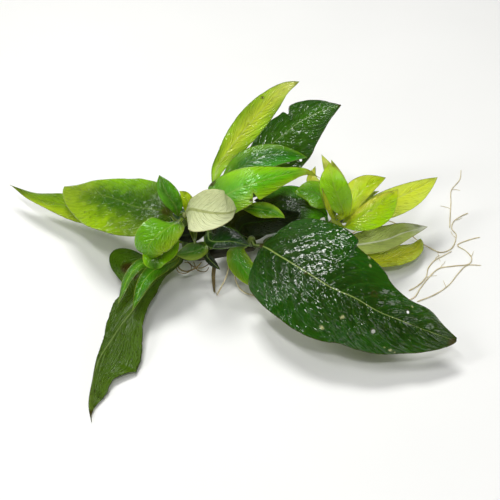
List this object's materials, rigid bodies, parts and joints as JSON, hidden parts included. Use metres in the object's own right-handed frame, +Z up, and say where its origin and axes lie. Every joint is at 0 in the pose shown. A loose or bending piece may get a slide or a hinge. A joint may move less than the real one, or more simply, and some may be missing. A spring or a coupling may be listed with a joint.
{
  "type": "hygrophila plant",
  "caption": "Bare-root water plant lying on a surface, with forked stems, broad and strap-like green leaves, a torn leaf and long fine roots.",
  "frame": {"origin": "middle of the plant's box, on the surface that it lies on", "axes": "+X to the right along the longest extent, from the far left leaf to the long roots; +Y away from the viewer; +Z up from the surface"},
  "size_m": [0.2426, 0.1653, 0.0786],
  "materials": {
    "deep_leaf": "wet glossy upper face of an old leaf",
    "green_leaf": "wet glossy leaf",
    "bright_leaf": "wet young leaf, slightly translucent",
    "pale_leaf": "ribbed pale leaf, satin",
    "sage_leaf": "underside of a leaf, matte",
    "cream_leaf": "cream underside of a leaf, satin",
    "dull_leaf": "ribbed underside of a dull leaf, matte",
    "stem": "green-brown stem, satin",
    "old_stem": "brown old stem and root, matte",
    "root": "pale fine root, matte"
  },
  "bodies": {
    "root": {"leaf_back_bright": "bright_leaf", "leaf_back_green": "green_leaf", "leaf_bud_1": "bright_leaf", "leaf_bud_2": "bright_leaf", "leaf_bud_3": "bright_leaf", "leaf_far_left": "green_leaf", "leaf_folded_pale": "cream_leaf", "leaf_front_glossy": "green_leaf", "leaf_inner_curled": "bright_leaf", "leaf_inner_dark": "deep_leaf", "leaf_inner_pale": "pale_leaf", "leaf_inner_right": "green_leaf", "leaf_inner_shaded": "deep_leaf", "leaf_largest": "deep_leaf", "leaf_left_broad": "green_leaf", "leaf_left_bud": "bright_leaf", "leaf_left_cupped": "green_leaf", "leaf_left_curled": "bright_leaf", "leaf_left_strap_1": "bright_leaf", "leaf_left_strap_2": "bright_leaf", "leaf_left_young": "green_leaf", "leaf_low_dark": "deep_leaf", "leaf_low_left": "green_leaf", "leaf_low_pointed": "deep_leaf", "leaf_low_small": "deep_leaf", "leaf_low_tiny": "green_leaf", "leaf_right_back_1": "bright_leaf", "leaf_right_back_2": "bright_leaf", "leaf_right_front": "bright_leaf", "leaf_right_long": "pale_leaf", "leaf_right_lower": "bright_leaf", "leaf_right_pointed": "bright_leaf", "leaf_right_sage": "sage_leaf", "leaf_right_thin": "pale_leaf", "leaf_right_upper": "bright_leaf", "leaf_torn": "dull_leaf", "leaf_under_back": "deep_leaf", "leaf_under_left": "deep_leaf", "leaf_upright_dark": "deep_leaf", "leaf_upright_pale": "pale_leaf", "root_back_1": "old_stem", "root_back_2": "root", "root_crown": "old_stem", "root_long_1": "root", "root_long_2": "root", "root_long_3": "root", "root_long_4": "root", "root_long_5": "root", "root_loop": "old_stem", "root_pale": "root", "root_thick": "old_stem", "stem_front": "stem", "stem_left": "stem", "stem_middle": "stem", "stem_right": "stem"}
  },
  "joints": []
}
